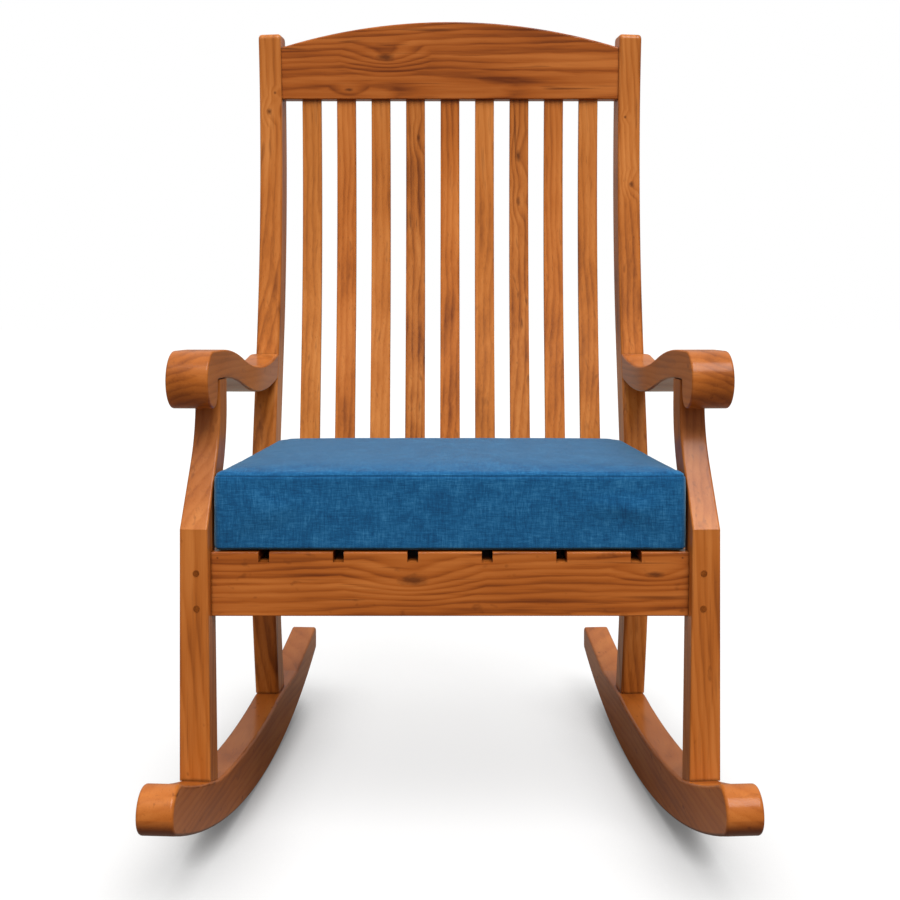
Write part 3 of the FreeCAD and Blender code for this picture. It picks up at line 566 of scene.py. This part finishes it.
def side_cuts(side, hand, crest_face):
    """The cuts of one side's boards, with hand -1 at the left and 1 at the right."""
    rocker_knots = [(hand * out, depth, z, size, stretch) for out, depth, z, size, stretch in ROCKER_KNOTS]
    return {
        # The rocker carries painted shade on its faces turned down
        side + "_rocker": dict(along="y", tone=0.95, warmth=0.08, tilt=0.0, heart=(0.01, 0.07), figure=0.45,
                               across=0.3, specks=0.7, underside_shade=0.9, knots=rocker_knots),
        # Painted shade on the front post's upper part, where its slope catches the key
        side + "_front_post": dict(along="z", tone=0.99, warmth=0.03, heart=(0.04, 0.11 * hand), figure=0.7,
                                   specks=0.4, upper_shade=0.30),
        side + "_back_post": dict(along="z", tone=1.12, warmth=-0.02, heart=(0.06, 0.10 * hand), figure=0.8,
                                  knots=on_face(crest_face - BACK_POST_PROUD, BACK_POST_KNOTS[side])),
        side + "_arm": dict(along="y", tone=0.97, warmth=0.04, tilt=0.0, heart=(0.01 * hand, 0.08),
                            figure=0.55, across=0.3, specks=0.4),
        side + "_side_rail": dict(along="y", tone=0.95),
    }


def slat_cuts(crest_face):
    """The cuts of the back slats, then of the seat slats."""
    cuts = {}
    for index, (tone, warmth, figure) in enumerate(BACK_SLAT_CUTS, start=1):
        knots = on_face(crest_face, BACK_SLAT_KNOTS.get(index, ()))
        heart = (BACK_SLAT_HEART[0] + HEART_STEP * (index % 4), BACK_SLAT_HEART[1])
        cuts["back_slat_%d" % index] = dict(along="z", tone=tone, warmth=warmth, tilt=0.03, heart=heart,
                                            figure=figure, knots=knots)
    for index in range(1, SEAT_SLATS + 1):
        tone = 1.0 + SEAT_TONE_SWING * math.sin(SEAT_TONE_STEP * index)
        heart = (SEAT_SLAT_HEART[0], SEAT_SLAT_HEART[1] + HEART_STEP * (index % 3))
        cuts["seat_slat_%d" % index] = dict(along="y", tone=tone, heart=heart)
    return cuts


def dress_frame():
    """Gives every wooden board its own cut of wood, and the fixings their own materials."""
    crest_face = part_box("crest_rail")[0][1]
    boards = rail_cuts(crest_face)
    boards.update(side_cuts("left", -1, crest_face))
    boards.update(side_cuts("right", 1, crest_face))
    boards.update(slat_cuts(crest_face))
    for number, (name, cut) in enumerate(boards.items()):
        cut.setdefault("warmth", WARMTH_SWING * math.sin(WARMTH_STEP * number))
        wear(nodes[name], hardwood(name, seed=number + 1, **cut))
    wear(nodes["front_rail_pegs"], end_grain_peg())
    wear(nodes["seat_slat_screws"], screw_steel())


# Cushion

def spread(half, edge, cell, lines=()):
    """Grid places from -half to half, closer together inside the rounded edge and beside given lines."""
    flat = np.linspace(edge - half, half - edge, max(2, int(2 * (half - edge) / cell)))
    near = half - edge + edge * np.array(EDGE_STEPS)
    close = np.array([line + SEAM_WIDTH * step for line in lines for step in SEAM_STEPS])
    if len(close):
        gaps = np.abs(flat[:, None] - close).min(axis=1)
        flat = flat[gaps > SEAM_CLEAR * SEAM_WIDTH]
    return np.unique(np.round(np.concatenate([-near, flat, near, close]), PLACE_DIGITS))


def seam_levels(half):
    """The heights of the two seams, from the cushion's middle."""
    return half[2] - SEAM_DROP, SEAM_DROP - half[2]


def box_grid(half, edge, cell):
    """The six faces of a block as flat grids on two of its three axes, welded where they meet.

    Gives the points, the quads and the face that each quad is on.
    """
    xs = spread(half[0], edge, cell)
    ys = spread(half[1], edge, cell)
    zs = spread(half[2], edge, cell, seam_levels(half))
    sides = {
        TOP: (xs, ys, 2, half[2], False), BOTTOM: (xs, ys, 2, -half[2], True),
        FRONT: (xs, zs, 1, -half[1], False), REAR: (xs, zs, 1, half[1], True),
        RIGHT: (ys, zs, 0, half[0], False), LEFT: (ys, zs, 0, -half[0], True),
    }
    points, quads, faces = [], [], []
    start = 0
    for side, (first, second, axis, value, flip) in sides.items():
        grid = np.stack(np.meshgrid(first, second, indexing="ij"), axis=-1).reshape(-1, 2)
        points.append(np.insert(grid, axis, value, axis=1))
        index = np.arange(len(grid)).reshape(len(first), len(second)) + start
        corners = [index[:-1, :-1], index[1:, :-1], index[1:, 1:], index[:-1, 1:]]
        quad = np.stack(corners, axis=-1).reshape(-1, 4)
        quads.append(quad[:, ::-1] if flip else quad)
        faces.append(np.full(len(quad), side))
        start += len(grid)
    points, quads, faces = (np.concatenate(rows) for rows in (points, quads, faces))
    keys = np.round(points * 10 ** PLACE_DIGITS).astype(np.int64)
    _, kept, back = np.unique(keys, axis=0, return_index=True, return_inverse=True)
    return points[kept], back.reshape(-1)[quads], faces


def lengths(vectors):
    """The length of each vector, never quite zero."""
    return np.maximum(np.linalg.norm(vectors, axis=1, keepdims=True), TINY)


def rounded_edges(points, half):
    """The block's edges made round: a point moves to one edge radius from the core inside the block."""
    inner = half - CUSHION_EDGE
    core = np.clip(points, -inner, inner)
    away = points - core
    outside = np.abs(away).max(axis=1, keepdims=True) > 0
    return np.where(outside, core + away / lengths(away) * CUSHION_EDGE, points)


def rounded_rear(form, half):
    """The rear corners made round in plan: square rings about each corner's centre become circles."""
    corner = half[:2] - CUSHION_REAR_CORNER
    over = np.stack([np.abs(form[:, 0]), form[:, 1]], axis=1) - corner
    in_corner = (over > 0).all(axis=1)
    ratio = np.abs(over).max(axis=1, keepdims=True) / lengths(over)
    arc = corner + over * ratio
    plan = np.stack([np.sign(form[:, 0]) * arc[:, 0], arc[:, 1]], axis=1)
    form[:, :2] = np.where(in_corner[:, None], plan, form[:, :2])
    return form


def cushion_points(points, half, taper):
    """The block made a cushion: edges and rear corners round, the lower edge pressed flatter, the sides
    drawn in by 1 + taper v, and the top raised by crown h^2 (1 - u^4) (1 - v^4), where u and v run from
    -1 to 1 across and along the seat and h from 0 to 1 up the cushion."""
    form = rounded_rear(rounded_edges(points, half), half)
    pressed = (form[:, 2] + half[2]) * CUSHION_LOW_EDGE - half[2]
    form[:, 2] = np.where(form[:, 2] < CUSHION_EDGE - half[2], pressed, form[:, 2])
    u, v = form[:, 0] / half[0], form[:, 1] / half[1]
    rise = np.clip((form[:, 2] + half[2]) / (2 * half[2]), 0, 1)
    form[:, 2] += CUSHION_CROWN * rise ** 2 * np.clip(1 - u ** 4, 0, 1) * np.clip(1 - v ** 4, 0, 1)
    form[:, 0] *= 1 + taper * v
    return form


def mesh_object(name, points, quads):
    """A mesh object from arrays of points and quads."""
    mesh = bpy.data.meshes.new(name)
    mesh.from_pydata(points.tolist(), [], quads.tolist())
    mesh.update()
    piece = bpy.data.objects.new(name, mesh)
    bpy.context.scene.collection.objects.link(piece)
    return piece


def read_points(mesh):
    """A mesh's points as an array."""
    flat = np.empty(3 * len(mesh.vertices))
    mesh.vertices.foreach_get("co", flat)
    return flat.reshape(-1, 3)


def swell(piece, give):
    """Lets inside pressure fill the cover for some frames, with each point's travel eased and capped."""
    before = read_points(piece.data)
    cloth = piece.modifiers.new("fill", "CLOTH")
    cloth.settings.use_pressure = True
    cloth.settings.uniform_pressure_force = FILL_PRESSURE
    cloth.settings.effector_weights.gravity = 0.0
    cloth.settings.tension_stiffness = COVER_STRETCH
    cloth.settings.compression_stiffness = COVER_STRETCH
    cloth.settings.bending_stiffness = COVER_BEND
    scene = bpy.context.scene
    for step in range(1, FILL_FRAMES + 1):
        scene.frame_set(step)
    after = read_points(piece.evaluated_get(bpy.context.evaluated_depsgraph_get()).data)
    piece.modifiers.remove(cloth)
    scene.frame_set(1)
    travel = (after - before) * give[:, None]
    return before + travel * np.minimum(1.0, FILL_CAP / lengths(travel))


def cushion_cloth(seam_heights):
    """Slubbed linen: crossed threads of uneven thickness, a soft bloom at a low angle, seam shade."""
    material = new_material("cushion_cloth")
    place = add(material, "ShaderNodeUVMap", uv_map="threads").outputs[0]
    warp_place = mapped(material, place, scale=(1.0, THREAD_SQUEEZE, 1.0))
    weft_place = mapped(material, place, WEFT_SHIFT, scale=(THREAD_SQUEEZE, 1.0, 1.0))
    warp, weft = (noise(material, run, **THREAD) for run in (warp_place, weft_place))
    slub_warp, slub_weft = (noise(material, run, **SLUB) for run in (warp_place, weft_place))
    threads = maths(material, "ADD", warp, weft)
    slubs = maths(material, "ADD", slub_warp, slub_weft)
    level = moved(material, CLOTH_TONE, threads, THREAD_SHARE, middle=2 * PATTERN_MIDDLE)
    level = moved(material, level, slubs, SLUB_SHARE, middle=2 * PATTERN_MIDDLE)
    level = moved(material, level, noise(material, place, **CLOUD), CLOUD_SHARE)
    level = moved(material, level, noise(material, place, **FADED), FADED_SHARE)
    colour = ramp(material, level, CLOTH_TONES)

    # Seams: on the side panels the map's second number is the height
    u, v, _ = split(material, place)
    for height in seam_heights:
        away = maths(material, "ABSOLUTE", maths(material, "SUBTRACT", v, height))
        line = rescale(material, away, *SEAM_SHADE_RANGE)
        colour = marked(material, colour, line, SEAM_SHARE, SEAM_COLOUR)

    # Plain weave relief: one thread over, one under, as the product of two sines
    turns = 2 * math.pi / WEAVE_PITCH
    over_u, over_v = (maths(material, "SINE", maths(material, "MULTIPLY", run, turns)) for run in (u, v))
    weave = maths(material, "MULTIPLY", over_u, over_v)
    relief = maths(material, "MULTIPLY_ADD", weave, WEAVE_RELIEF, threads)
    bump = add(material, "ShaderNodeBump", {
        "Strength": WEAVE_STRENGTH, "Distance": WEAVE_DEPTH, "Height": relief,
    })
    surface(material, {
        "Base Color": colour, "Normal": bump.outputs[0],
        "Roughness": maths(material, "MULTIPLY_ADD", warp, CLOTH_ROUGH_SWING, CLOTH_ROUGH),
        "Specular IOR Level": CLOTH_SPECULAR,
        "Sheen Weight": BLOOM_WEIGHT, "Sheen Roughness": BLOOM_ROUGH, "Sheen Tint": BLOOM_COLOUR,
    })
    return material


def sew_seams(points, grid, half, centre):
    """A shallow groove along each seam: side points move inwards by depth exp(-(height off / width)^2)."""
    seam = np.zeros(len(points))
    for height in seam_levels(half):
        seam = np.maximum(seam, np.exp(-((grid[:, 2] - height) / SEAM_WIDTH) ** 2))
    on_side = (np.abs(grid[:, :2]) / half[:2]).max(axis=1) > SIDE_PANEL_SHARE
    towards = centre[:2] - points[:, :2]
    points[:, :2] += towards / lengths(towards) * (SEAM_DEPTH * np.where(on_side, seam, 0.0))[:, None]


def lay_threads(mesh, corners, panels):
    """A map in metres whose threads run along the edges of each panel."""
    across = np.where(np.isin(panels, (RIGHT, LEFT)), corners[:, 1], corners[:, 0])
    up = np.where(np.isin(panels, (TOP, BOTTOM)), corners[:, 1], corners[:, 2])
    layer = mesh.uv_layers.new(name="threads")
    layer.data.foreach_set("uv", np.stack([across, up], axis=1).astype(np.float32).ravel())


def box_cushion():
    """The sewn box cushion: rounded block, filled by pressure, flat below, with a seam round each edge."""
    low, high = (np.array(corner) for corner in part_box("cushion_cover"))
    half = (high - low) / 2 - CUSHION_START
    half[0] = (CUSHION_FRONT_HALF + CUSHION_REAR_HALF) / 2
    half[2] -= CUSHION_SWELL_ROOM
    centre = (low + high) / 2
    centre[2] = low[2] + CUSHION_START / 2 + half[2]
    taper = (CUSHION_REAR_HALF - CUSHION_FRONT_HALF) / (CUSHION_REAR_HALF + CUSHION_FRONT_HALF)
    grid, quads, faces = box_grid(half, CUSHION_EDGE, CUSHION_CELL)
    points = cushion_points(grid, half, taper) + centre
    piece = mesh_object("seat_cushion", points, quads)
    on_edge = (np.abs(grid) > half - 2 * CUSHION_EDGE).sum(axis=1) > 1
    points = swell(piece, np.where(on_edge, EDGE_GIVE, 1.0))
    points[:, 2] = np.maximum(points[:, 2], low[2] + CUSHION_LIFT)
    sew_seams(points, grid, half, centre)
    piece.data.vertices.foreach_set("co", points.ravel())
    piece.data.update()
    lay_threads(piece.data, (grid + centre)[quads.ravel()], np.repeat(faces, 4))
    piece.data.polygons.foreach_set("use_smooth", np.ones(len(quads), dtype=bool))
    smooth = piece.modifiers.new("smooth", "SUBSURF")
    smooth.levels = smooth.render_levels = 1
    wear(piece, cushion_cloth([centre[2] + height for height in seam_levels(half)]))
    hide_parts("cushion_cover", "cushion_foam")
    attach(piece, "cushion")


# Stage

def stage_floor():
    """A wide pale floor, darker where something almost touches it; it throws back less than is seen."""
    corners = np.array([(-1, -1, 0), (1, -1, 0), (1, 1, 0), (-1, 1, 0)]) * FLOOR_HALF
    floor = mesh_object("floor", corners, np.array([[0, 1, 2, 3]]))
    material = new_material("floor")
    seen = seen_directly(material)
    glossy = add(material, "ShaderNodeLightPath").outputs["Is Glossy Ray"]
    bounced = blend(material, glossy, FLOOR_BOUNCE, FLOOR_MIRRORED)
    colour = blend(material, seen, bounced, FLOOR_COLOUR)
    matt = add(material, "ShaderNodeBsdfDiffuse", {"Color": colour}).outputs[0]
    touching = rescale(material, open_air(material, CONTACT_REACH), *CONTACT_RANGE, CONTACT_DARKEST, 1.0)
    under = rescale(material, open_air(material, UNDER_REACH), *UNDER_RANGE, UNDER_DARKEST, 1.0)
    shade = maths(material, "MULTIPLY", touching, under)
    paper = add(material, "ShaderNodeEmission", {"Color": shade, "Strength": 1.0}).outputs[0]
    share = maths(material, "MULTIPLY", seen, FLOOR_LIFT)
    mix = add(material, "ShaderNodeMixShader", {0: share, 1: matt, 2: paper})
    add(material, "ShaderNodeOutputMaterial", {0: mix.outputs[0]})
    wear(floor, material)


def studio_light():
    """A pale dome, brighter overhead, and one soft key from above the camera; the camera sees white."""
    world = bpy.data.worlds.new("studio")
    bpy.context.scene.world = world
    world.use_nodes = True
    world.node_tree.nodes.clear()
    direction = add(world, "ShaderNodeTexCoord").outputs["Generated"]
    strength = rescale(world, split(world, direction)[2], 0.0, 1.0, SKY_LOW, SKY_HIGH)
    dome = add(world, "ShaderNodeBackground", {0: SKY_COLOUR, 1: strength}).outputs[0]
    white = add(world, "ShaderNodeBackground", {0: WHITE}).outputs[0]
    mix = add(world, "ShaderNodeMixShader", {0: seen_directly(world), 1: dome, 2: white})
    add(world, "ShaderNodeOutputWorld", {0: mix.outputs[0]})

    key = bpy.data.lights.new("key", "SUN")
    key.energy = KEY_STRENGTH
    key.angle = math.radians(KEY_SPREAD)
    lamp = bpy.data.objects.new("key", key)
    lamp.rotation_euler = tuple(math.radians(value) for value in KEY_TURN)
    bpy.context.scene.collection.objects.link(lamp)


def photo_camera():
    """A level camera in front of the chair, its frame shifted down to hold the rockers."""
    data = bpy.data.cameras.new("camera")
    data.lens = CAMERA_LENS
    data.sensor_width = CAMERA_SENSOR
    data.shift_y = -FRAME_DROP / PICTURE_SIDE
    camera = bpy.data.objects.new("camera", data)
    camera.location = CAMERA_PLACE
    camera.rotation_euler = (math.pi / 2, 0.0, 0.0)
    bpy.context.scene.collection.objects.link(camera)
    bpy.context.scene.camera = camera


bpy.context.scene.view_settings.view_transform = "Standard"
photo_camera()
stage_floor()
studio_light()
dress_frame()
box_cushion()
